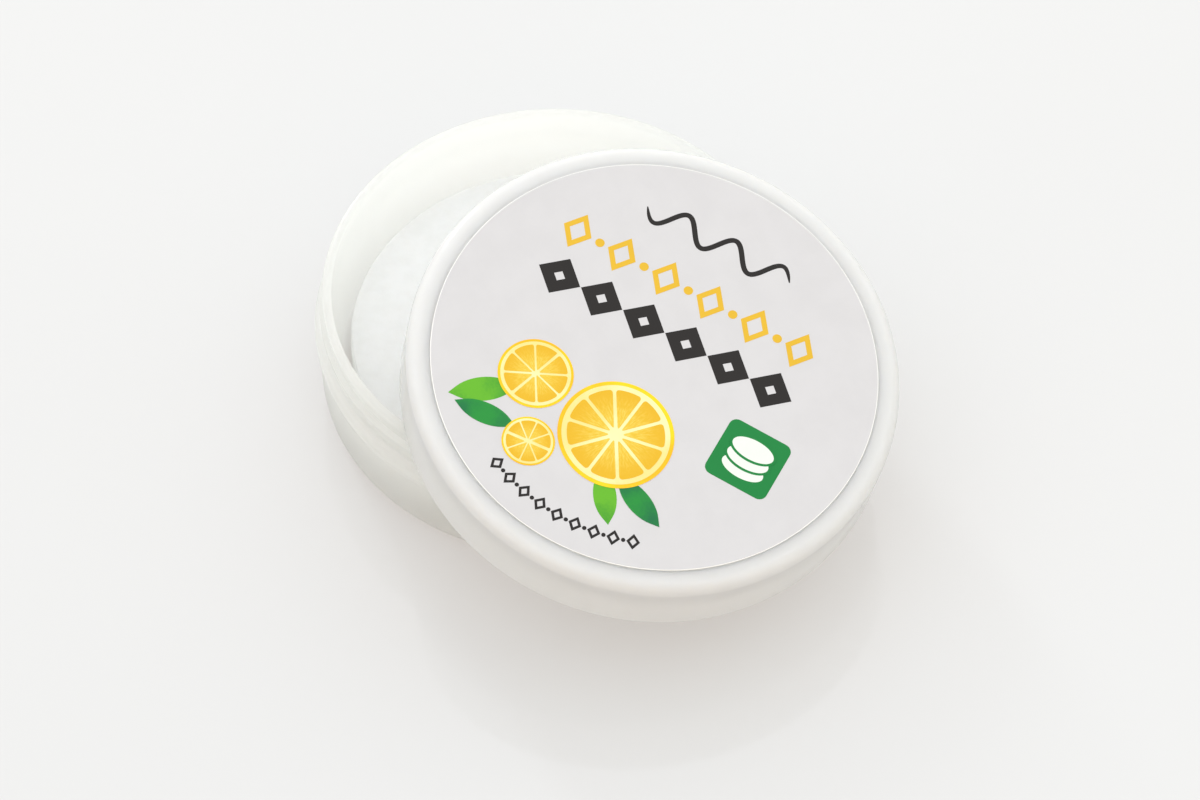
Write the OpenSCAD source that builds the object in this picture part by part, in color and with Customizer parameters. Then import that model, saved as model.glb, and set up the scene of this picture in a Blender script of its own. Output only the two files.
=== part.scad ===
// Small round screw jar of remover pads, standing open.
// The lid is off its thread and perched on the rim, leaning towards +X.
// Millimetres, +Z up. The origin is the middle of the jar's foot, on the table.

/* [Jar] */
// Diameter of the jar body
body_d = 56; // [50:0.5:70]
// Height of the jar from the table to the top of its rim
jar_h = 18; // [16:0.5:30]
// Width of the shoulder under the neck
shoulder_w = 1.3; // [1:0.1:3]
// Height of the neck from the shoulder to the top of the rim
neck_h = 5.5; // [4:0.1:7]
// Thickness of the neck wall
neck_t = 0.9; // [0.7:0.05:1.6]
// How far the lip stands out from the neck
lip_out = 0.2; // [0.1:0.05:0.4]
// Height of the straight part of the lip, under the rounded rim
lip_h = 0.5; // [0.3:0.1:1.5]
// Height of the slope from the lip back to the neck
lip_slope = 0.25; // [0.1:0.05:0.6]
// Radius of the rounded edge of the shoulder
shoulder_r = 0.7; // [0.3:0.1:0.9]
// Height of the band under the shoulder
band_h = 1.2; // [1:0.1:2.5]
// How far the band stands out from the side below it
band_out = 0.35; // [0.1:0.05:0.8]
// Height over which the band runs out into the side
band_blend = 1.2; // [0.4:0.1:2]
// How much the side narrows from the band down to the foot, on the radius
side_taper = 0.15; // [0.05:0.05:0.6]
// Radius of the rounded corner between the side and the foot
corner_r = 4; // [2:0.1:5.5]
// Radius of the hollow corner where the neck meets the shoulder
neck_root_r = 0.3; // [0.1:0.05:0.5]
// Thickness of the floor
floor_t = 1.1; // [0.8:0.1:2]
// Depth of the hollow under the floor, inside the foot ring
foot_recess = 0.7; // [0.4:0.1:1.2]
// Width of the foot ring
foot_w = 2; // [1:0.1:4]
// Radius of the corner inside, between the floor and the wall
inner_r = 1.6; // [0.8:0.1:2.4]
// How much the inside narrows from the rim down to the floor, on the radius
draft = 0.2; // [0.1:0.05:0.5]

/* [Pads] */
// Number of pads in the stack
pad_count = 32; // [12:1:36]
// Thickness of one pad, wet and pressed
pad_t = 0.23; // [0.15:0.005:0.27]
// Air between one pad and the next
pad_air = 0.01; // [0.005:0.005:0.02]
// Room round a pad inside the flat of the floor
pad_room = 0.15; // [0.15:0.05:2]
// How far a pad lies off the middle of the stack
pad_stray = 0.1; // [0.02:0.01:0.13]
// Turn from one pad's stray to the next
pad_turn = 137; // [20:1:170]

/* [Lid] */
// Thickness of the top of the lid
top_t = 1.3; // [0.9:0.1:2]
// Thickness of the skirt of the lid
skirt_t = 0.7; // [0.6:0.05:1.2]
// Room between the lip and the inside of the skirt, which the two threads share
thread_room = 0.55; // [0.4:0.05:1]
// Radius of the rounded edge round the top of the lid
top_r = 1.3; // [0.6:0.1:1.6]
// Radius of the corner inside the lid
lid_inner_r = 0.5; // [0.2:0.05:0.8]
// Gap between the skirt and the shoulder when the lid is screwed down
shoulder_gap = 0.15; // [0.05:0.05:0.5]
// Thickness of the foam liner
liner_t = 1.8; // [1:0.1:2.2]
// Air above and round the liner
liner_air = 0.05; // [0.02:0.01:0.2]
// Thickness of the paper label
label_t = 0.1; // [0.06:0.01:0.2]
// Bare ring of lid between the label and the rounded edge
label_margin = 1.35; // [0.6:0.05:4]

/* [Perch] */
// Lean of the lid from level
lid_tilt = 13; // [4:0.5:15]
// Distance from the jar's axis to the middle of the lid's open edge, seen from above
lid_shift = 17.9; // [14:0.1:24]
// Air between the edge of the skirt and the rim that carries it
seat_gap = 0.08; // [0.05:0.01:0.2]

/* [Hidden] */
$fn = 180;
pad_numbers = [for (i = [1:pad_count]) i];

// Steps along a small and a large rounded edge
fine = 8;
coarse = 16;

// The jar's radii and heights
body_r = body_d / 2;
neck_r = body_r - shoulder_w;
lip_r = neck_r + lip_out;
rim_r = (neck_t + lip_out) / 2;
shoulder_z = jar_h - neck_h;
band_z = shoulder_z - band_h;
wall_r = body_r - band_out;
mouth_r = neck_r - neck_t;
floor_z = foot_recess + floor_t;
floor_r = mouth_r - draft;
flat_r = floor_r - inner_r;
foot_r = wall_r - side_taper - corner_r;
hollow_r = foot_r - foot_w;

// The pads lie on the flat of the floor
pad_r = flat_r - pad_room;
pad_pitch = pad_t + pad_air;

// The lid fits round the lip, and down to the shoulder when it is screwed on
bore_r = lip_r + thread_room;
lid_r = bore_r + skirt_t;
edge_r = skirt_t / 2;
lid_h = top_t + liner_air + liner_t + neck_h - shoulder_gap;
ceiling_z = lid_h - top_t;
liner_r = bore_r - lid_inner_r - liner_air;
label_r = lid_r - top_r - label_margin;

// Where the open lid rests. The rounded rim and the rounded edge of the skirt are two
// rings, and the lean crosses them at two points. The crossing is found from above.
rim_ring_r = lip_r - rim_r;
rim_ring_z = jar_h - rim_r;
edge_ring_r = lid_r - edge_r;
edge_ring_x = edge_ring_r * cos(lid_tilt);
// Cosine of the crossing's angle round the lid, from the side it leans to
cross_a = edge_ring_x ^ 2 - edge_ring_r ^ 2;
cross_b = 2 * lid_shift * edge_ring_x;
cross_c = lid_shift ^ 2 + edge_ring_r ^ 2 - rim_ring_r ^ 2;
cross_cos = -2 * cross_c / (cross_b + sqrt(cross_b ^ 2 - 4 * cross_a * cross_c));
cross_sin = sqrt(1 - cross_cos ^ 2);
cross_x = lid_shift + edge_ring_x * cross_cos;
cross_y = edge_ring_r * cross_sin;
// Directions of the two rings there, and the height that keeps them apart
rim_way = [-cross_y, cross_x, 0] / rim_ring_r;
edge_way = [-cross_sin * cos(lid_tilt), cross_cos, cross_sin * sin(lid_tilt)];
across = cross(rim_way, edge_way);
ring_rise = (rim_r + edge_r + seat_gap) * norm(across) / abs(across[2]);
edge_ring_z = rim_ring_z + ring_rise + edge_ring_r * cross_cos * sin(lid_tilt);

// Points along an arc about (x, z)
function arc(x, z, r, from, to, steps) =
    [for (i = [0:steps]) let (a = from + (to - from) * i / steps) [x + r * cos(a), z + r * sin(a)]];

function pad_name(i) = str("pad_", i < 10 ? "0" : "", i);

// Half section of the jar, from the hollow under the floor, up the outside, and down the inside
module jar_section() {
    polygon(concat(
        [[0, foot_recess], [hollow_r - foot_recess / 2, foot_recess], [hollow_r, 0]],
        arc(foot_r, corner_r, corner_r, -90, 0, coarse),
        [for (i = [0:fine]) let (k = i / fine)
            [wall_r + band_out * (1 - cos(180 * k)) / 2, band_z - band_blend * (1 - k)]],
        arc(body_r - shoulder_r, shoulder_z - shoulder_r, shoulder_r, 0, 90, fine),
        arc(neck_r + neck_root_r, shoulder_z + neck_root_r, neck_root_r, 270, 180, fine),
        [[neck_r, rim_ring_z - lip_h - lip_slope], [lip_r, rim_ring_z - lip_h]],
        arc(rim_ring_r, rim_ring_z, rim_r, 0, 180, coarse),
        arc(flat_r, floor_z + inner_r, inner_r, 0, -90, fine),
        [[0, floor_z]]
    ));
}

module jar() {
    color([0.93, 0.94, 0.91])
        rotate_extrude() jar_section();
}

module pad(i) {
    a = pad_turn * i;
    color([0.98, 0.98, 0.96])
        translate([pad_stray * cos(a), pad_stray * sin(a), floor_z + pad_air + (i - 1) * pad_pitch])
            cylinder(h = pad_t, r = pad_r);
}

// Puts a piece that is drawn round the lid's own axis, open edge at zero, where the lid rests
module perched() {
    translate([lid_shift, 0, edge_ring_z])
        rotate([0, lid_tilt, 0])
            translate([0, 0, -edge_r]) children();
}

// Half section of the lid, from the middle of the top, down the outside and up the inside
module lid_section() {
    polygon(concat(
        [[0, lid_h]],
        arc(lid_r - top_r, lid_h - top_r, top_r, 90, 0, coarse),
        arc(edge_ring_r, edge_r, edge_r, 0, -180, fine),
        arc(bore_r - lid_inner_r, ceiling_z - lid_inner_r, lid_inner_r, 0, 90, fine),
        [[0, ceiling_z]]
    ));
}

module lid() {
    color([0.95, 0.96, 0.93])
        perched() rotate_extrude() lid_section();
}

module lid_liner() {
    color([0.97, 0.97, 0.96])
        perched()
            translate([0, 0, ceiling_z - liner_air - liner_t])
                cylinder(h = liner_t, r = liner_r);
}

module lid_label() {
    color([0.91, 0.9, 0.92])
        perched()
            translate([0, 0, lid_h]) cylinder(h = label_t, r = label_r);
}

jar();
lid();
lid_liner();
lid_label();
for (i = pad_numbers) pad(i);
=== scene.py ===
# %% [markdown]
# An open jar of remover pads.
# The object is a shallow screw jar of milky, translucent polypropylene. It holds a stack of thin
# round pads of nonwoven fabric. The lid has a paper label. It is off its thread and leans on the rim.
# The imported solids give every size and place. This script adds the looks: fine shells with their
# threads, soft pads, print on the label, finishes, light and a camera.

# %% Start
import math

import bmesh
import bpy
from mathutils import Matrix, Vector, noise


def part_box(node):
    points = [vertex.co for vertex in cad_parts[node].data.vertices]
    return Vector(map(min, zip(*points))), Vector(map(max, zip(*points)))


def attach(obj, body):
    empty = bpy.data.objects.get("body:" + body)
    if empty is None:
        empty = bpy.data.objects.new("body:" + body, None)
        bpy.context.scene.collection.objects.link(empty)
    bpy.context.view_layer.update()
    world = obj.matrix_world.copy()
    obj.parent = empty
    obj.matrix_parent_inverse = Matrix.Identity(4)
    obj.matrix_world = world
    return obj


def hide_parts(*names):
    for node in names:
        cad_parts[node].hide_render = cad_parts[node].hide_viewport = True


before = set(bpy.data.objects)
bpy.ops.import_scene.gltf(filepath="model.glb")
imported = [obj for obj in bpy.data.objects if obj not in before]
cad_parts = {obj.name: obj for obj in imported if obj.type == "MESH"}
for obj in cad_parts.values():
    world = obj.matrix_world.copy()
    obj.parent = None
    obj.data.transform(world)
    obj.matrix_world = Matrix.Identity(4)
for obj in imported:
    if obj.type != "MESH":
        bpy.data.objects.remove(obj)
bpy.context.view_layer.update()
MM = 0.001

# %% [markdown]
# The sizes come from the frame where it can tell them. A box of the jar gives its radius and height.
# The lid leans, so its box doesn't show its height. The other sizes are the ones that the solids
# are drawn with, repeated here in millimetres. The cell prints a few of them beside their boxes.

# %% Sizes
jar_low, jar_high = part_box("jar")
BODY_R = (jar_high.x - jar_low.x) / 2
JAR_H = jar_high.z
NECK_H = 5.5 * MM
SHOULDER_W = 1.3 * MM
LIP_OUT = 0.2 * MM
NECK_T = 0.9 * MM
SHOULDER_Z = JAR_H - NECK_H
NECK_R = BODY_R - SHOULDER_W
LIP_R = NECK_R + LIP_OUT
MOUTH_R = NECK_R - NECK_T
FLOOR_Z = 1.8 * MM

LID_TILT = math.radians(13)
LID_SHIFT = 17.9 * MM
LID_R = 28.15 * MM
LID_H = 8.5 * MM
SKIRT_T = 0.7 * MM
TOP_T = 1.3 * MM
BORE_R = LID_R - SKIRT_T
EDGE_R = SKIRT_T / 2
CEILING_Z = LID_H - TOP_T
LINER_R = BORE_R - 0.55 * MM
LINER_T = 1.8 * MM
LABEL_R = LID_R - 2.65 * MM
LABEL_T = 0.1 * MM

lid_low, lid_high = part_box("lid")
edge_reach = (LID_R - EDGE_R) * math.sin(LID_TILT) + EDGE_R
LID_EDGE_Z = lid_low.z + edge_reach
LID_PLACE = (
    Matrix.Translation((LID_SHIFT, 0, LID_EDGE_Z))
    @ Matrix.Rotation(LID_TILT, 4, "Y")
    @ Matrix.Translation((0, 0, -EDGE_R))
)
lid_wide = lid_high.y - lid_low.y
print(f"jar {2000 * BODY_R:.1f} mm across and {1000 * JAR_H:.1f} mm high")
print(f"lid {2000 * LID_R:.1f} mm across, its box {1000 * lid_wide:.1f} mm")
print(f"middle of the lid's open edge {1000 * LID_EDGE_Z:.2f} mm over the table")

# %% [markdown]
# The camera stands where the photographer stood. Its place was found by fitting the outlines of the
# rim, the lid and the label. It is far off and has a long lens, so the circles hardly narrow.

# %% Camera
TARGET = Vector((16.7, -5.51, 18)) * MM
CAMERA_FAR = 500 * MM
SENSOR_W = 36
LENS = 132.1
AZIMUTH = math.radians(54.13)
ELEVATION = math.radians(53.31)
back = Vector((
    math.sin(AZIMUTH) * math.cos(ELEVATION),
    -math.cos(AZIMUTH) * math.cos(ELEVATION),
    math.sin(ELEVATION),
))
bpy.ops.object.select_all(action="DESELECT")
bpy.ops.object.camera_add(location=TARGET + CAMERA_FAR * back)
camera = bpy.context.object
camera.name = "photo_camera"
camera.rotation_euler = (-back).to_track_quat("-Z", "Y").to_euler()
camera.data.sensor_width = SENSOR_W
camera.data.lens = LENS
camera.data.clip_start = 10 * MM
bpy.context.scene.camera = camera
print("camera at", [round(1000 * c, 1) for c in camera.location], "mm")

# %% [markdown]
# Every operator in Blender works on what is selected. These helpers select one piece, open it in
# edit mode, apply its modifiers, smooth it, or move its place into its mesh.

# %% Helpers for one piece
def deselect():
    if bpy.context.object and bpy.context.object.mode != "OBJECT":
        bpy.ops.object.mode_set(mode="OBJECT")
    bpy.ops.object.select_all(action="DESELECT")


def activate(piece):
    deselect()
    piece.select_set(True)
    bpy.context.view_layer.objects.active = piece


def edit(piece, kind):
    """Opens a piece in edit mode, with nothing selected. kind is VERT, EDGE or FACE."""
    activate(piece)
    bpy.ops.object.mode_set(mode="EDIT")
    bpy.ops.mesh.select_mode(type=kind)
    bpy.ops.mesh.select_all(action="DESELECT")


def apply_modifiers(piece):
    activate(piece)
    for modifier in list(piece.modifiers):
        bpy.ops.object.modifier_apply(modifier=modifier.name)


def smooth(piece, degrees=32):
    activate(piece)
    bpy.ops.object.shade_smooth_by_angle(angle=math.radians(degrees))


def bake_place():
    bpy.ops.object.transform_apply(location=True, rotation=True, scale=True)


def place(piece, matrix):
    """Puts a piece where it belongs and moves that place into its mesh."""
    activate(piece)
    piece.matrix_world = matrix
    bake_place()


print("helpers for one piece ready")

# %% [markdown]
# A turned shape such as a jar is drawn here as it is in edit mode by hand. A disc is extruded and
# resized from corner to corner of the profile, and the last face closes it. Each corner is a ring
# of edges, and a bevel rounds it with its own radius. This keeps the whole shell closed, and each
# rounding stays a number that a maker knows.

# %% Turned shells
SIDES = 288
NEAR = 0.002 * MM
BEVEL_STEP = math.radians(11)


def select_ring(piece, radius, height):
    bpy.ops.mesh.select_all(action="DESELECT")
    mesh = bmesh.from_edit_mesh(piece.data)
    for edge in mesh.edges:
        if all(abs(v.co.z - height) < NEAR and abs(v.co.xy.length - radius) < NEAR for v in edge.verts):
            edge.select_set(True)
    bmesh.update_edit_mesh(piece.data)


def turned(name, corners):
    """A closed shell from (radius, height, rounding) corners, extruded ring by ring, then bevelled."""
    deselect()
    radius, height, _ = corners[0]
    bpy.ops.mesh.primitive_circle_add(
        vertices=SIDES, radius=radius, fill_type="NGON", location=(0, 0, height)
    )
    piece = bpy.context.object
    piece.name = piece.data.name = name
    bake_place()
    edit(piece, "FACE")
    bpy.ops.mesh.select_all(action="SELECT")
    for (r, z, _), (next_r, next_z, _) in zip(corners, corners[1:]):
        bpy.ops.mesh.extrude_region_move(TRANSFORM_OT_translate={"value": (0, 0, next_z - z)})
        grow = next_r / r
        bpy.ops.transform.resize(value=(grow, grow, 1), center_override=(0, 0, 0))
    bpy.ops.mesh.select_all(action="SELECT")
    bpy.ops.mesh.normals_make_consistent(inside=False)
    bpy.ops.mesh.select_mode(type="EDGE")
    profile = [(0, corners[0][1])] + [(r, z) for r, z, _ in corners] + [(0, corners[-1][1])]
    for before, (r, z, rounding), after in zip(profile, corners, profile[2:]):
        if rounding:
            arrive = Vector((r - before[0], z - before[1]))
            leave = Vector((after[0] - r, after[1] - z))
            turn = arrive.angle(leave)
            select_ring(piece, r, z)
            bpy.ops.mesh.bevel(
                offset=rounding * math.tan(turn / 2),
                segments=max(2, round(turn / BEVEL_STEP)),
                affect="EDGES",
            )
    bpy.ops.object.mode_set(mode="OBJECT")
    return piece


print("a ring has", SIDES, "sides")

# %% [markdown]
# A screw thread is a small ridge that climbs round the wall. It starts as a closed outline of a few
# edges that stands up in the plane of the axis, and a Screw modifier carries it round and up. Its
# ends run out into the wall, as a mould cuts them: a point's share of the full height grows with
# the height climbed from the near end. A Boolean then joins the ridge to the shell, because two
# shells that only overlap would show their hidden walls through the milky plastic.

# %% Thread
PITCH = 2.0 * MM
SINK = 0.25 * MM
RUN_OUT = 14 / 360 * PITCH


def thread(name, root_r, crest_r, height, turns, base, top):
    """A ridge from the wall at root_r out (or in) to crest_r. base and top are its widths."""
    sink = math.copysign(SINK, crest_r - root_r)
    deselect()
    bpy.ops.mesh.primitive_circle_add(
        vertices=8, radius=1, fill_type="NOTHING", rotation=(math.pi / 2, 0, 0)
    )
    ridge = bpy.context.object
    ridge.name = ridge.data.name = name
    bake_place()
    shoulder_r = crest_r - 0.12 * (crest_r - root_r)
    outline = [
        (root_r - sink, -base / 2),
        (root_r, -base / 2),
        (shoulder_r, -top / 2),
        (crest_r, -top / 3.4),
        (crest_r, top / 3.4),
        (shoulder_r, top / 2),
        (root_r, base / 2),
        (root_r - sink, base / 2),
    ]
    for vertex, (x, z) in zip(ridge.data.vertices, outline):
        vertex.co = (x, 0, z)
    screw = ridge.modifiers.new("climb", "SCREW")
    screw.axis = "Z"
    screw.angle = turns * math.tau
    screw.screw_offset = turns * PITCH
    screw.steps = screw.render_steps = int(turns * SIDES / 2)
    screw.use_smooth_shade = True
    apply_modifiers(ridge)
    edit(ridge, "EDGE")
    bpy.ops.mesh.select_all(action="SELECT")
    bpy.ops.mesh.fill_holes(sides=0)
    bpy.ops.mesh.select_all(action="SELECT")
    bpy.ops.mesh.normals_make_consistent(inside=False)
    bpy.ops.object.mode_set(mode="OBJECT")
    hidden_r = root_r - sink / 2
    for vertex in ridge.data.vertices:
        r = vertex.co.xy.length
        if (r - hidden_r) * sink > 0:
            first_turn = PITCH * (math.atan2(vertex.co.y, vertex.co.x) % math.tau) / math.tau
            climbed = min(max(vertex.co.z, 0), turns * PITCH)
            climbed = round((climbed - first_turn) / PITCH) * PITCH + first_turn
            share = min(1, max(0, climbed) / RUN_OUT, max(0, turns * PITCH - climbed) / RUN_OUT)
            vertex.co.xy *= (hidden_r + (r - hidden_r) * share) / r
    place(ridge, Matrix.Translation((0, 0, height)))
    return ridge


def join_solid(shell, part):
    union = shell.modifiers.new("union", "BOOLEAN")
    union.operation = "UNION"
    union.object = part
    union.solver = "MANIFOLD"
    apply_modifiers(shell)
    bpy.data.objects.remove(part)


print(f"a thread climbs {1000 * PITCH:.1f} mm a turn")

# %% [markdown]
# The jar is one moulding: a foot ring round a shallow hollow, a generous corner, a side that
# widens a little up to a band under the shoulder, then the neck with its lip and rounded rim. The
# inside narrows a little towards the floor so that the jar leaves its mould.

# %% Jar
FOOT_RECESS = 0.7 * MM
RING_R = 21.5 * MM
FOOT_R = 27.5 * MM
SIDE_R = 27.65 * MM
FLOOR_R = 25.6 * MM
BAND_LOW = 10.1 * MM
BAND_HIGH = 11.3 * MM
LIP_LOW = 16.7 * MM
LIP_HIGH = 16.95 * MM
RIM_ROUND = 0.545 * MM
jar = turned("jar_shell", [
    (RING_R - FOOT_RECESS / 2, FOOT_RECESS, 0.1 * MM),
    (RING_R, 0, 0.15 * MM),
    (FOOT_R, 0, 3.98 * MM),
    (SIDE_R, BAND_LOW, 2.1 * MM),
    (BODY_R, BAND_HIGH, 2.1 * MM),
    (BODY_R, SHOULDER_Z, 0.7 * MM),
    (NECK_R, SHOULDER_Z, 0.3 * MM),
    (NECK_R, LIP_LOW, 0.1 * MM),
    (LIP_R, LIP_HIGH, 0.1 * MM),
    (LIP_R, JAR_H, RIM_ROUND),
    (MOUTH_R, JAR_H, RIM_ROUND),
    (FLOOR_R, FLOOR_Z, 1.6 * MM),
])
neck_thread = thread(
    "neck_thread", NECK_R, NECK_R + 0.6 * MM, height=13.5 * MM, turns=1.25, base=1.15 * MM, top=0.5 * MM
)
join_solid(jar, neck_thread)
smooth(jar)
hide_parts("jar")
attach(jar, "jar")
print("jar shell:", len(jar.data.polygons), "faces")

# %% [markdown]
# The lid is a shallow cap. It is modelled upright round its own axis, open edge at zero, and then
# leaned and moved onto the rim, as the solid is. Its thread points inwards and starts well above
# the open edge.

# %% Lid
EDGE_ROUND = 0.345 * MM
lid = turned("lid_shell", [
    (LID_R, LID_H, 1.3 * MM),
    (LID_R, 0, EDGE_ROUND),
    (BORE_R, 0, EDGE_ROUND),
    (BORE_R, CEILING_Z, 0.5 * MM),
])
lid_thread = thread(
    "lid_thread", BORE_R, BORE_R - 0.42 * MM, height=1.9 * MM, turns=1.1, base=1.0 * MM, top=0.45 * MM
)
join_solid(lid, lid_thread)
place(lid, LID_PLACE)
smooth(lid)
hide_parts("lid")
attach(lid, "lid")
print("lid shell:", len(lid.data.polygons), "faces")

# %% [markdown]
# The liner is a disc of closed-cell foam that seals on the rim. Where the rim presses, the foam
# stays a little flatter. The label is a disc of coated paper, cut with a die.

# %% Liner and label
liner_top = CEILING_Z - 0.05 * MM
liner_face = liner_top - LINER_T
PRESSED = 0.09 * MM
PRESSED_R = 25.7 * MM
liner = turned("foam_liner", [
    (LINER_R, liner_top, 0.1 * MM),
    (LINER_R, liner_face + PRESSED, 0.12 * MM),
    (PRESSED_R, liner_face + PRESSED, 0.06 * MM),
    (PRESSED_R - 0.2 * MM, liner_face, 0.1 * MM),
])
place(liner, LID_PLACE)
smooth(liner)
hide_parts("lid_liner")
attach(liner, "liner")

label = turned("paper_label", [
    (LABEL_R, LID_H, 0),
    (LABEL_R, LID_H + LABEL_T, 0.02 * MM),
])
place(label, LID_PLACE)
smooth(label)
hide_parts("lid_label")
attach(label, "lid")
print("liner face", round(1000 * liner_face, 2), "mm above the lid's edge")

# %% [markdown]
# A pad is a thin disc of nonwoven fabric, stamped out in a stack. One is modelled: a round face,
# inset into rings so that it can bend, given its thickness, with the cut edge left a little uneven.
# Each copy gets its own mesh, turn and place. All of them share one slow wave that grows from the
# flat floor up, so no pad cuts through the next.

# %% Pads
PAD_SIDES = 120
PAD_RINGS = 7
RIM_W = 0.5 * MM
MIDDLE_R = 1 * MM
pad_low, pad_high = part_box("pad_32")
PAD_R = (pad_high.x - pad_low.x) / 2
PAD_T = pad_high.z - pad_low.z
SWELL = 0.13 * MM
PAD_TURN = 137
RAGGED = 0.0028
RAGGED_FROM = 0.96
PADS = sorted(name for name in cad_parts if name.startswith("pad_"))


def model_pad():
    deselect()
    bpy.ops.mesh.primitive_circle_add(vertices=PAD_SIDES, radius=PAD_R, fill_type="NGON")
    pad = bpy.context.object
    edit(pad, "FACE")
    bpy.ops.mesh.select_all(action="SELECT")
    bpy.ops.mesh.inset(thickness=RIM_W)
    for _ in range(PAD_RINGS):
        bpy.ops.mesh.inset(thickness=(PAD_R - RIM_W - MIDDLE_R) / PAD_RINGS)
    bpy.ops.object.mode_set(mode="OBJECT")
    thick = pad.modifiers.new("thickness", "SOLIDIFY")
    thick.thickness = PAD_T
    thick.offset = 1
    rounded = pad.modifiers.new("cut_edge", "BEVEL")
    rounded.width = 0.07 * MM
    rounded.segments = 2
    rounded.limit_method = "ANGLE"
    apply_modifiers(pad)
    return pad


def wave(x, y):
    """How far the top pad bends up from flat at a place."""
    slow = noise.noise(Vector((x, y, 0)) * 60)
    swell = math.sin(x * 95 + 0.6) * math.cos(y * 80 - 0.3)
    return SWELL * (0.55 * swell + 0.9 * slow)


template = model_pad()
pads = []
for number, node in enumerate(PADS, 1):
    low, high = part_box(node)
    pad = template.copy()
    pad.data = template.data.copy()
    bpy.context.collection.objects.link(pad)
    pad.name = pad.data.name = f"round_{node}"
    turn = Matrix.Rotation(math.radians(PAD_TURN * number), 4, "Z")
    for vertex in pad.data.vertices:
        out = vertex.co.xy.length / PAD_R
        ragged = noise.noise(Vector((vertex.co.x, vertex.co.y, number * MM)) * 900)
        vertex.co.xy *= 1 + RAGGED * ragged * max(0, out - RAGGED_FROM) / (1 - RAGGED_FROM)
        vertex.co = turn @ vertex.co
        vertex.co += Vector(((low.x + high.x) / 2, (low.y + high.y) / 2, low.z))
        vertex.co.z += wave(vertex.co.x, vertex.co.y) * number / len(PADS)
    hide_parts(node)
    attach(pad, "top_pad" if node == PADS[-1] else "pad_stack")
    smooth(pad, 40)
    pads.append(pad)
bpy.data.objects.remove(template)
for pad, below in zip(pads, ["jar_shell"] + pads):
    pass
print(len(pads), "pads,", round(2000 * PAD_R, 1), "mm across,", len(pads[0].data.polygons), "faces each")

# %% [markdown]
# The label's print is a plain design in the colours that such labels have: a row of outlined yellow
# lozenges, a row of bold dark ones, a thin wave, round slices of fruit with leaves, a green tile and
# a row of small marks along the edge. They lie on a pale ground that stops just short of the paper's
# cut edge, so a thin white line shows round it. Each ink is a film about a hundredth of a millimetre
# thick, cut to shape from flat primitives, so its outline stays sharp at any distance. Sizes and
# places on the label are in millimetres. Where shapes overlap, each lies on a layer of its own.

# %% Print helpers
INK = 0.012 * MM
WHITE_EDGE = 0.09
PRINT_TURN = math.radians(26.6)
PRINT_PLACE = (
    LID_PLACE
    @ Matrix.Translation((0, 0, LID_H + LABEL_T + INK))
    @ Matrix.Rotation(PRINT_TURN, 4, "Z")
)


def flat_face(sides, width, height):
    """One face in millimetres, an ellipse or a polygon with its points on one."""
    deselect()
    bpy.ops.mesh.primitive_circle_add(vertices=sides, radius=0.5, fill_type="NGON")
    made = bpy.context.object
    made.scale = (width * MM, height * MM, 1)
    bake_place()
    return made


def make_film(made, at=(0, 0), turn=0.0, layer=0):
    """Gives the faces in edit mode the thickness of the ink, and puts them on their layer."""
    bpy.ops.mesh.select_mode(type="FACE")
    bpy.ops.mesh.select_all(action="SELECT")
    bpy.ops.mesh.extrude_region_move(TRANSFORM_OT_translate={"value": (0, 0, INK)})
    bpy.ops.mesh.select_all(action="SELECT")
    bpy.ops.mesh.normals_make_consistent(inside=False)
    move = Matrix.Translation((at[0] * MM, at[1] * MM, layer * INK))
    place(made, move @ Matrix.Rotation(turn, 4, "Z"))
    return made


def shape(sides, width, height, at=(0, 0), turn=0.0, stroke=0.0, layer=0):
    """One flat printed shape: an outline of so many sides, solid or as a stroke."""
    made = flat_face(sides, width, height)
    edit(made, "FACE")
    if stroke:
        bpy.ops.mesh.select_all(action="SELECT")
        bpy.ops.mesh.inset(thickness=stroke * MM)
        bpy.ops.mesh.delete(type="FACE")
    return make_film(made, at, turn, layer)


def tile(side, at, corner):
    """A square with rounded corners: a plane whose corner points are bevelled."""
    deselect()
    bpy.ops.mesh.primitive_plane_add(size=side * MM)
    made = bpy.context.object
    edit(made, "VERT")
    bpy.ops.mesh.select_all(action="SELECT")
    bpy.ops.mesh.bevel(affect="VERTICES", offset=corner * MM, segments=6)
    return make_film(made, at)


def ink(name, shapes):
    """Joins the shapes of one ink into one piece on the label."""
    deselect()
    for made in shapes:
        made.select_set(True)
    bpy.context.view_layer.objects.active = shapes[0]
    bpy.ops.object.join()
    film = bpy.context.object
    film.name = film.data.name = name
    place(film, PRINT_PLACE)
    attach(film, "lid")
    return film


ground_wide = 2000 * LABEL_R - 2 * WHITE_EDGE
ground = ink("ground_print", [shape(180, ground_wide, ground_wide, layer=-1)])
print("print turned by", round(math.degrees(PRINT_TURN), 1), "degrees on the lid")

# %% [markdown]
# The two rows are borders of lozenges, a traditional pattern. Dots sit between the yellow ones.
# The dark lozenges are broad strokes round a small open middle.

# %% Rows of lozenges
def row(count, start, pitch, height):
    """The places of so many shapes, side by side at one height on the label."""
    return [(start + pitch * i, height) for i in range(count)]


YELLOW_ROW = 10.1
YELLOW_PITCH = 5.75
DARK_ROW = 3.9
yellow_shapes = [shape(4, 3.6, 4.9, at, stroke=0.62) for at in row(6, -15.5, YELLOW_PITCH, YELLOW_ROW)]
yellow_shapes += [shape(20, 1.1, 1.1, at) for at in row(5, -12.6, YELLOW_PITCH, YELLOW_ROW)]
dark_shapes = [shape(4, 5.35, 5.1, at, stroke=1.35) for at in row(6, -14.5, 5.45, DARK_ROW)]
print(len(yellow_shapes), "yellow shapes and", len(dark_shapes), "dark ones")

# %% [markdown]
# The thin wave is a strip of small faces, whose points are moved onto a sine curve, each along the
# curve's own normal, so that the stroke keeps its width.

# %% Wave
WAVE_LONG = 18.5
WAVE_HIGH = 1.5
WAVE_COUNT = 3


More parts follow.
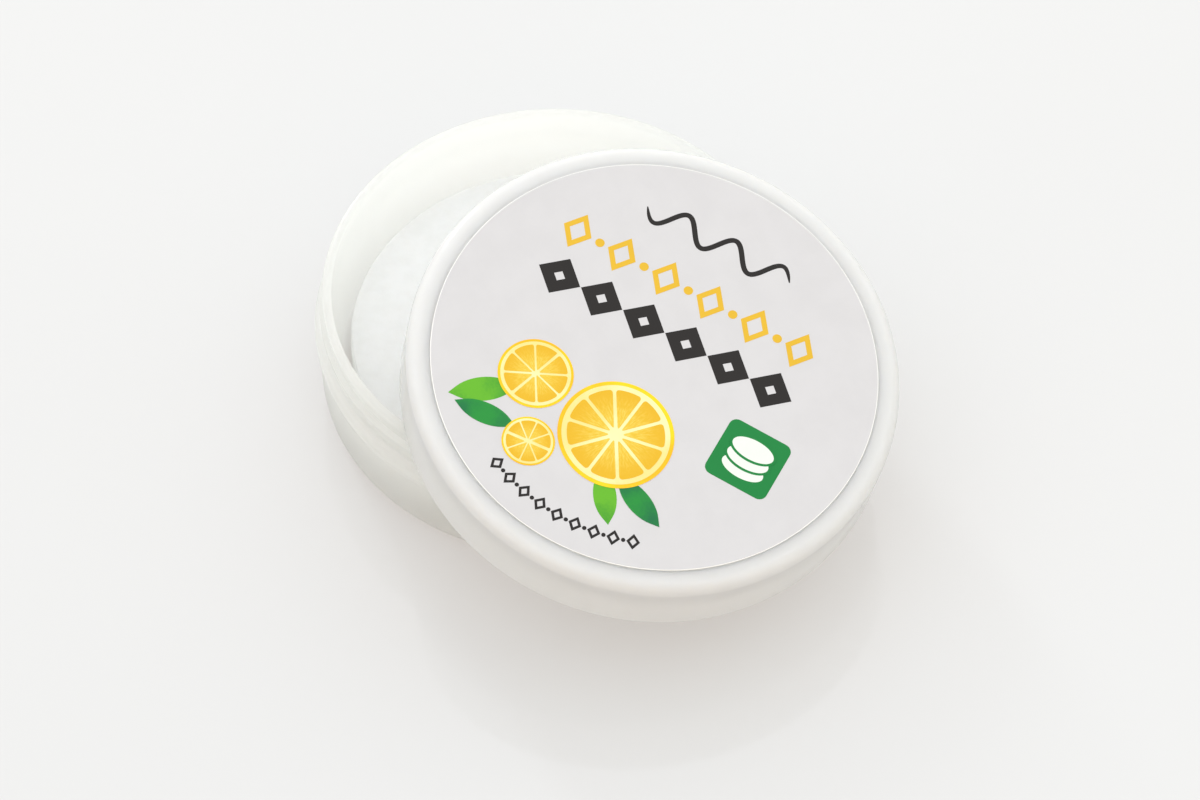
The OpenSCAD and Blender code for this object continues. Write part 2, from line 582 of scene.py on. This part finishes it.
def wavy_stroke(width, centre):
    deselect()
    bpy.ops.mesh.primitive_grid_add(x_subdivisions=90, y_subdivisions=1, size=1)
    strip = bpy.context.object
    bend = math.tau * WAVE_COUNT / WAVE_LONG
    for vertex in strip.data.vertices:
        x = vertex.co.x * WAVE_LONG
        middle = Vector((x, WAVE_HIGH * math.sin(bend * x), 0))
        normal = Vector((-WAVE_HIGH * bend * math.cos(bend * x), 1, 0)).normalized()
        taper = math.sqrt(max(0.04, 1 - (2 * vertex.co.x) ** 8))
        vertex.co = (middle + normal * math.copysign(width / 2 * taper, vertex.co.y)) * MM
    edit(strip, "FACE")
    return make_film(strip, centre)


dark_shapes.append(wavy_stroke(0.62, (-0.9, 17.2)))
print("wave of", WAVE_COUNT, "periods")

# %% [markdown]
# Small marks follow the label's lower edge: a lozenge and a dot in turn.

# %% Marks along the edge
EDGE_ROW = 22.4
MARKS = 17
FIRST_MARK = -114.5
MARKS_SPAN = 46
for i in range(MARKS):
    angle = math.radians(FIRST_MARK + MARKS_SPAN * i / (MARKS - 1))
    centre = (EDGE_ROW * math.cos(angle), EDGE_ROW * math.sin(angle))
    if i % 2:
        dark_shapes.append(shape(16, 0.5, 0.5, centre))
    else:
        dark_shapes.append(shape(4, 1.9, 1.55, centre, turn=angle, stroke=0.3))
dark = ink("dark_print", dark_shapes)
yellow = ink("yellow_print", yellow_shapes)
print("rows, wave and marks printed")

# %% [markdown]
# The green tile has three white ovals, one on the other, like a small stack of pads. The upper two
# have a green edge, which is a larger green oval one film lower.

# %% Tile with a stack
TILE_AT = (14.5, -5.1)
OVAL_PITCH = 1.3
green_shapes = [tile(7.7, TILE_AT, 0.95)]
white_shapes = []
for step in range(3):
    centre = (TILE_AT[0], TILE_AT[1] - 1.35 + OVAL_PITCH * step)
    if step:
        green_shapes.append(shape(40, 5.7, 3.1, centre, layer=2 * step))
    white_shapes.append(shape(40, 5.1, 2.5, centre, layer=2 * step + 1))
green = ink("green_print", green_shapes)
white = ink("white_print", white_shapes)
print("tile printed")

# %% [markdown]
# A slice of fruit is three films: rind, pith and pulp. The pulp starts as one round face. Planes
# cut it across, the strips between two cuts are deleted, and the corners that are left are rounded,
# which gives the segments. Its UV map holds the place in the slice, so the pulp's fibres can run
# out from the middle. SLICES gives each slice's place, radius, number of cuts and turn.

# %% Slices
MEMBRANE = 0.075
SEGMENT_ROUND = 0.07
SHARP = math.radians(140)
PITH_SHARE = 0.93
PULP_SHARE = 0.84


def segments(radius, at, cuts, turn, layer):
    """The pulp of a slice, cut so many times across its middle."""
    deselect()
    bpy.ops.mesh.primitive_circle_add(vertices=90, radius=radius * MM, fill_type="NGON")
    pulp = bpy.context.object
    edit(pulp, "FACE")
    half_membrane = MEMBRANE * radius * MM / 2
    for cut in range(cuts):
        angle = turn + math.pi * cut / cuts
        across = Vector((-math.sin(angle), math.cos(angle), 0))
        for side in (-1, 1):
            bpy.ops.mesh.select_all(action="SELECT")
            bpy.ops.mesh.bisect(plane_co=across * side * half_membrane, plane_no=across)
        bpy.ops.mesh.select_all(action="DESELECT")
        mesh = bmesh.from_edit_mesh(pulp.data)
        for face in mesh.faces:
            if abs(face.calc_center_median().dot(across)) < half_membrane:
                face.select_set(True)
        bmesh.update_edit_mesh(pulp.data)
        bpy.ops.mesh.delete(type="FACE")
    bpy.ops.mesh.select_mode(type="VERT")
    bpy.ops.mesh.select_all(action="DESELECT")
    mesh = bmesh.from_edit_mesh(pulp.data)
    for vertex in mesh.verts:
        ends = [(edge.other_vert(vertex).co - vertex.co) for edge in vertex.link_edges]
        if len(ends) == 2 and ends[0].angle(ends[1]) < SHARP:
            vertex.select_set(True)
    bmesh.update_edit_mesh(pulp.data)
    bpy.ops.mesh.bevel(affect="VERTICES", offset=SEGMENT_ROUND * radius * MM, segments=4)
    make_film(pulp, at, layer=layer)
    middle = Vector(at) * MM
    uv = pulp.data.uv_layers.get("UVMap") or pulp.data.uv_layers.new(name="UVMap")
    for loop in pulp.data.loops:
        point = pulp.data.vertices[loop.vertex_index].co.xy
        uv.data[loop.index].uv = (point - middle) / (radius * MM)
    return pulp


SLICES = [
    ((0.4, -10.3), 6.6, 5, 0.2),
    ((-10.9, -8.4), 4.3, 4, 0.5),
    ((-7.6, -16.2), 3.0, 4, 0.1),
]
rinds = []
piths = []
pulps = []
for at, radius, cuts, turn in SLICES:
    pith_wide = 2 * PITH_SHARE * radius
    rinds.append(shape(90, 2 * radius, 2 * radius, at, layer=2))
    piths.append(shape(90, pith_wide, pith_wide, at, layer=3))
    pulps.append(segments(PULP_SHARE * radius, at, cuts, turn, layer=4))
rind = ink("slice_rinds", rinds)
pith = ink("slice_piths", piths)
pulp = ink("slice_pulp", pulps)
print(len(SLICES), "slices,", len(pulp.data.polygons), "faces of pulp")

# %% [markdown]
# A leaf starts as a lozenge. Its two side points are bevelled with many steps until they bow, and
# its tips stay sharp. A lighter leaf lies beside a darker one.

# %% Leaves
def leaf(length, width, at, angle, layer=0):
    made = flat_face(4, width, length)
    edit(made, "VERT")
    mesh = bmesh.from_edit_mesh(made.data)
    for vertex in mesh.verts:
        vertex.select_set(abs(vertex.co.x) > width * MM / 4)
    bmesh.update_edit_mesh(made.data)
    bpy.ops.mesh.bevel(affect="VERTICES", offset=0.44 * length * MM, segments=12)
    return make_film(made, at, angle, layer)


light_leaves = ink("light_leaves", [
    leaf(8.0, 5.2, (-15.0, -13.2), math.radians(-52)),
    leaf(7.0, 4.6, (2.9, -17.6), math.radians(34)),
])
dark_leaves = ink("dark_leaves", [
    leaf(7.4, 4.6, (-13.4, -15.7), math.radians(-84), layer=1),
    leaf(7.6, 4.8, (6.4, -16.2), math.radians(66), layer=1),
])
print("leaves printed")

# %% [markdown]
# Shader sums are written as Python sums. A Wire is the output of a node: adding or multiplying it
# adds a Math node. A Finish is one material, or the light of the room, and its node method adds
# every other kind of node.

# %% Wires and finishes
class Wire:
    """A value that varies over a surface."""

    def __init__(self, finish, socket):
        self.finish = finish
        self.socket = socket

    def math(self, operation, a, b):
        return self.finish.node("ShaderNodeMath", {"operation": operation}, {0: a, 1: b})

    def __add__(self, other):
        return self.math("ADD", self, other)

    def __radd__(self, other):
        return self.math("ADD", other, self)

    def __mul__(self, other):
        return self.math("MULTIPLY", self, other)

    def __rmul__(self, other):
        return self.math("MULTIPLY", other, self)


class Finish:
    """One material, or the nodes of the room's light, and the one way to add a node to it."""

    def __init__(self, name=None, tree=None):
        if tree is None:
            self.material = bpy.data.materials.new(name)
            self.material.use_nodes = True
            tree = self.material.node_tree
        self.tree = tree
        self.tree.nodes.clear()

    def node(self, kind, settings=None, inputs=None, out=0):
        """Adds a node: its settings come first, then the values or wires of its sockets."""
        made = self.tree.nodes.new(kind)
        for key, value in (settings or {}).items():
            setattr(made, key, value)
        for key, value in (inputs or {}).items():
            if isinstance(value, Wire):
                self.tree.links.new(value.socket, made.inputs[key])
            else:
                made.inputs[key].default_value = value
        return Wire(self, made.outputs[out]) if made.outputs else None

    def point(self, location=(0, 0, 0), rotation=(0, 0, 0), stretch=(1, 1, 1)):
        """Where a point of the piece is, in metres, seen from a moved and turned frame."""
        place = self.node("ShaderNodeTexCoord", out="Object")
        return self.node(
            "ShaderNodeMapping",
            {"vector_type": "TEXTURE"},
            {"Vector": place, "Location": location, "Rotation": rotation, "Scale": stretch},
        )

    def noise(self, point, scale, detail=3.0, roughness=0.5):
        return self.node(
            "ShaderNodeTexNoise",
            {},
            {"Vector": point, "Scale": scale, "Detail": detail, "Roughness": roughness},
        )

    def ramp(self, value, low, high):
        """0 where the value is low, 1 where it is high, with a soft step in between."""
        return self.node(
            "ShaderNodeMapRange",
            {"interpolation_type": "SMOOTHSTEP"},
            {"Value": value, "From Min": low, "From Max": high},
        )

    def mix(self, factor, a, b):
        return self.node("ShaderNodeMix", {"data_type": "RGBA"}, {0: factor, 6: a, 7: b}, out=2)

    def bump(self, height, distance, strength=1.0):
        return self.node(
            "ShaderNodeBump", {}, {"Strength": strength, "Distance": distance, "Height": height}
        )

    def surface(self, through=None, **sockets):
        """The finished skin. through is the share, and the colour, of light that passes a thin wall."""
        named = {key.replace("_", " "): value for key, value in sockets.items()}
        shader = self.node("ShaderNodeBsdfPrincipled", {}, named)
        if through:
            share, tint = through
            passing = self.node("ShaderNodeBsdfTranslucent", {}, {"Color": tint})
            shader = self.node("ShaderNodeMixShader", {}, {0: share, 1: shader, 2: passing})
        self.node("ShaderNodeOutputMaterial", {}, {"Surface": shader})
        return self.material


def colour(red, green, blue):
    """A screen's colour, each part from 0 to 255, turned into shares of light."""
    def linear(c):
        c = c / 255
        return c / 12.92 if c <= 0.04045 else ((c + 0.055) / 1.055) ** 2.4
    return (linear(red), linear(green), linear(blue), 1)


def dimmed(tint, share):
    return tuple(share * c for c in tint[:3]) + (1,)


def wear(piece, material):
    piece.data.materials.clear()
    piece.data.materials.append(material)


LID_FRAME = {"location": LID_PLACE.to_translation(), "rotation": LID_PLACE.to_euler()}
print("wires and finishes ready")

# %% [markdown]
# The plastic is thin polypropylene with no pigment. It is milky because light scatters inside it, so
# the shader's subsurface part does the main work: light enters, wanders and leaves some millimetres
# away. Red light gets a little further than blue, which warms what shines through. A share of the
# light passes straight through the wall, more of it in the jar than in the lid, which stands over a
# liner. The skin of a moulding is smooth with a faint orange peel and a few hair scratches.

# %% Milky plastic
def milky_plastic(name, tint, depth, clear, location=(0, 0, 0), rotation=(0, 0, 0)):
    """depth is how far light wanders, clear the share that passes straight through."""
    finish = Finish(name)
    point = finish.point(location, rotation)
    flow = finish.noise(point, 90, 4)
    peel = finish.noise(point, 1400, 2)
    around = finish.point(location, rotation, (1, 1, 0.06))
    scratches = finish.ramp(finish.noise(around, 700, 5, 0.7), 0.6, 0.75)
    return finish.surface(
        through=(clear, tint),
        Base_Color=finish.mix(finish.ramp(flow, 0.35, 0.7), tint, dimmed(tint, 0.975)),
        Roughness=0.12 + 0.06 * flow + 0.12 * scratches,
        IOR=1.49,
        Subsurface_Weight=1.0,
        Subsurface_Radius=(1.06, 1.03, 0.96),
        Subsurface_Scale=depth,
        Normal=finish.bump(peel + 0.5 * scratches, 0.004 * MM),
    )


JAR_TINT = colour(253, 254, 253)
LID_TINT = colour(252, 253, 250)
wear(jar, milky_plastic("milky_jar_plastic", JAR_TINT, depth=12 * MM, clear=0.58))
wear(lid, milky_plastic("milky_lid_plastic", LID_TINT, depth=3 * MM, clear=0.15, **LID_FRAME))
print("plastic on the jar and the lid")

# %% [markdown]
# The foam liner is a fine closed-cell sheet: white, dull, with tiny round cells in its skin.

# %% Foam
def fine_foam():
    finish = Finish("fine_white_foam")
    point = finish.point(**LID_FRAME)
    cells = finish.node("ShaderNodeTexVoronoi", {}, {"Vector": point, "Scale": 2600.0})
    cloud = finish.noise(point, 160, 3)
    tone = finish.mix(finish.ramp(cloud, 0.3, 0.7), colour(241, 241, 238), colour(233, 233, 230))
    return finish.surface(
        Base_Color=tone,
        Roughness=0.75 + 0.1 * cloud,
        Subsurface_Weight=0.6,
        Subsurface_Radius=(1.0, 0.95, 0.9),
        Subsurface_Scale=0.4 * MM,
        Normal=finish.bump(cells, 0.03 * MM, 0.5),
    )


wear(liner, fine_foam())
print("foam on the liner")

# %% [markdown]
# The label is white coated paper with a satin skin, and its ground is a film of pale grey ink. The
# coat is not quite even, and the paper's fibres show only as a trace in the gloss.

# %% Paper
PRINT_IOR = 1.48
PRINT_SHINE = 0.35


def coated_paper(name, shade, rough=0.34):
    finish = Finish(name)
    point = finish.point(**LID_FRAME)
    cloud = finish.noise(point, 220, 4, 0.6)
    grain = finish.noise(point, 5200, 3)
    return finish.surface(
        Base_Color=finish.mix(finish.ramp(cloud, 0.3, 0.72), shade, dimmed(shade, 0.965)),
        Roughness=rough + 0.1 * cloud + 0.05 * grain,
        IOR=PRINT_IOR,
        Specular_IOR_Level=PRINT_SHINE,
        Normal=finish.bump(grain + 0.6 * cloud, 0.004 * MM),
    )


wear(label, coated_paper("white_label_paper", colour(250, 250, 248)))
wear(ground, coated_paper("pale_ground_ink", colour(210, 209, 212)))
wear(dark, coated_paper("dark_ink", colour(26, 20, 17), 0.36))
wear(yellow, coated_paper("yellow_ink", colour(224, 180, 40), 0.36))
wear(green, coated_paper("green_ink", colour(0, 126, 54), 0.36))
wear(white, coated_paper("white_ink", colour(232, 240, 232), 0.3))
print("paper and flat inks")

# %% [markdown]
# The printed fruit is shaded as a picture is. The rind, the pith and the leaves run from a light to
# a deeper tone. The pulp has fibres from the middle outwards, which are noise over the angle and
# the radius of its UV map.

# %% Printed fruit
def shaded_ink(name, light, deep):
    finish = Finish(name)
    point = finish.point(**LID_FRAME)
    slow = finish.noise(point, 170, 2)
    grain = finish.noise(point, 3000, 2)
    return finish.surface(
        Base_Color=finish.mix(finish.ramp(slow + 0.12 * grain, 0.42, 0.72), light, deep),
        Roughness=0.36 + 0.08 * grain,
        IOR=PRINT_IOR,
        Specular_IOR_Level=PRINT_SHINE,
    )


def pulp_ink():
    finish = Finish("pulp_ink")
    uv = finish.node("ShaderNodeTexCoord", out="UV")
    split = finish.node("ShaderNodeSeparateXYZ", {}, {0: uv}).socket.node
    x, y = Wire(finish, split.outputs["X"]), Wire(finish, split.outputs["Y"])
    angle = x.math("ARCTAN2", y, x)
    radius = finish.node("ShaderNodeVectorMath", {"operation": "LENGTH"}, {0: uv}, out="Value")
    polar = finish.node("ShaderNodeCombineXYZ", {}, {0: 7 * angle, 1: 2.2 * radius})
    fibres = finish.noise(polar, 3.0, 4, 0.6)
    pale = finish.mix(finish.ramp(fibres, 0.42, 0.66), colour(228, 188, 44), colour(240, 212, 96))
    return finish.surface(
        Base_Color=finish.mix(finish.ramp(radius, 0.3, 1.0), pale, colour(226, 178, 24)),
        Roughness=0.38 + 0.06 * fibres,
        IOR=PRINT_IOR,
        Specular_IOR_Level=PRINT_SHINE,
    )


wear(rind, shaded_ink("rind_ink", colour(255, 214, 10), colour(250, 186, 12)))
wear(pith, shaded_ink("pith_ink", colour(248, 236, 176), colour(240, 222, 140)))
wear(pulp, pulp_ink())
wear(light_leaves, shaded_ink("light_leaf_ink", colour(98, 178, 30), colour(44, 140, 34)))
wear(dark_leaves, shaded_ink("dark_leaf_ink", colour(26, 140, 50), colour(4, 104, 62)))
print("fruit and leaves shaded")

# %% [markdown]
# The pads are white nonwoven: short fibres in every direction, pressed and damp. Up close the
# fibres show as fine crossing streaks, and from a step away only as a faint cloud.

# %% Nonwoven fabric
def nonwoven():
    finish = Finish("damp_nonwoven")
    one_way = finish.point(rotation=(0, 0, 0.5), stretch=(1.8, 0.7, 1))
    other_way = finish.point(rotation=(0, 0, -0.9), stretch=(1.6, 0.7, 1))
    fibres = 0.5 * finish.noise(one_way, 2700, 3, 0.6) + 0.5 * finish.noise(other_way, 2900, 3, 0.6)
    cloud = finish.noise(finish.point(), 330, 4, 0.6)
    tone = finish.mix(finish.ramp(cloud, 0.3, 0.72), colour(254, 254, 253), colour(247, 247, 245))
    return finish.surface(
        Base_Color=tone,
        Roughness=0.8 + 0.1 * cloud,
        Subsurface_Weight=0.5,
        Subsurface_Radius=(1.0, 0.95, 0.88),
        Subsurface_Scale=0.5 * MM,
        Sheen_Weight=0.15,
        Normal=finish.bump(fibres + 0.5 * cloud, 0.05 * MM),
    )


fabric = nonwoven()
for pad in pads:
    wear(pad, fabric)
print("fabric on", len(pads), "pads")

# %% [markdown]
# The object stands on a pale polished table. The table's surface has a constant warm glow, which is
# painted light: it keeps the shadows on the table light and warm.

# %% Table
TABLE_R = 4
deselect()
bpy.ops.mesh.primitive_circle_add(vertices=64, radius=TABLE_R, fill_type="NGON")
floor = bpy.context.object
floor.name = "pale_table"
table = Finish("pale_polished_table")
cloudy = table.noise(table.point(), 6, 2)
wear(floor, table.surface(
    Base_Color=table.mix(table.ramp(cloudy, 0.3, 0.7), colour(172, 179, 183), colour(169, 176, 180)),
    Roughness=0.04,
    IOR=1.45,
    # painted light: a constant warm glow on the table that lifts and warms its shadows
    Emission_Color=(0.346, 0.302, 0.280, 1),
    Emission_Strength=1.0,
))
print("table", 2 * TABLE_R, "m across")

# %% [markdown]
# One softbox at the side adds the brighter line along the rounded edges. The white room does the
# rest. Its light is a sum of five wide glows, from overhead, from behind the table and from the
# other three sides. The closer a direction is to the middle of a glow, the brighter it is. GLOWS
# gives each one's direction and colour.

# %% Light
LAMP_FAR = 0.9
LAMP_WATTS = 1.2
deselect()
away = Vector((-0.89, 0.11, 0.45)).normalized()
bpy.ops.object.light_add(type="AREA", location=TARGET + LAMP_FAR * away)
lamp = bpy.context.object
lamp.name = "side_light"
lamp.rotation_euler = (-away).to_track_quat("-Z", "Y").to_euler()
lamp.data.shape = "RECTANGLE"
lamp.data.size = 0.1
lamp.data.size_y = 0.4
lamp.data.energy = LAMP_WATTS

GLOWS = [
    ((0, 0, 1), (0.70, 0.79, 0.92)),
    ((-0.81, 0.586, 0.3), (1.24, 1.13, 1.02)),
    ((0.81, -0.586, 0.45), (0.88, 0.65, 0.43)),
    ((-0.586, -0.81, 0.45), (0.83, 0.88, 0.84)),
    ((0.586, 0.81, 0.45), (0.82, 0.88, 0.82)),
]
world = bpy.data.worlds.new("white_room")
world.use_nodes = True
bpy.context.scene.world = world
room = Finish(tree=world.node_tree)
sight = room.node("ShaderNodeTexCoord", out="Generated")


def vector_math(operation, inputs, out="Vector"):
    return room.node("ShaderNodeVectorMath", {"operation": operation}, inputs, out)


total = (0, 0, 0)
for middle, tint in GLOWS:
    near = vector_math("DOT_PRODUCT", {0: sight, 1: Vector(middle).normalized()}, "Value")
    near = near.math("MAXIMUM", near, 0.0)
    glow = vector_math("SCALE", {0: tint, "Scale": near * near})
    total = vector_math("ADD", {0: total, 1: glow})
light = room.node("ShaderNodeBackground", {}, {"Color": total, "Strength": 1.0})
room.node("ShaderNodeOutputWorld", {}, {"Surface": light})
bpy.context.scene.view_settings.view_transform = "Standard"
print("a room of", len(GLOWS), "glows and one softbox")
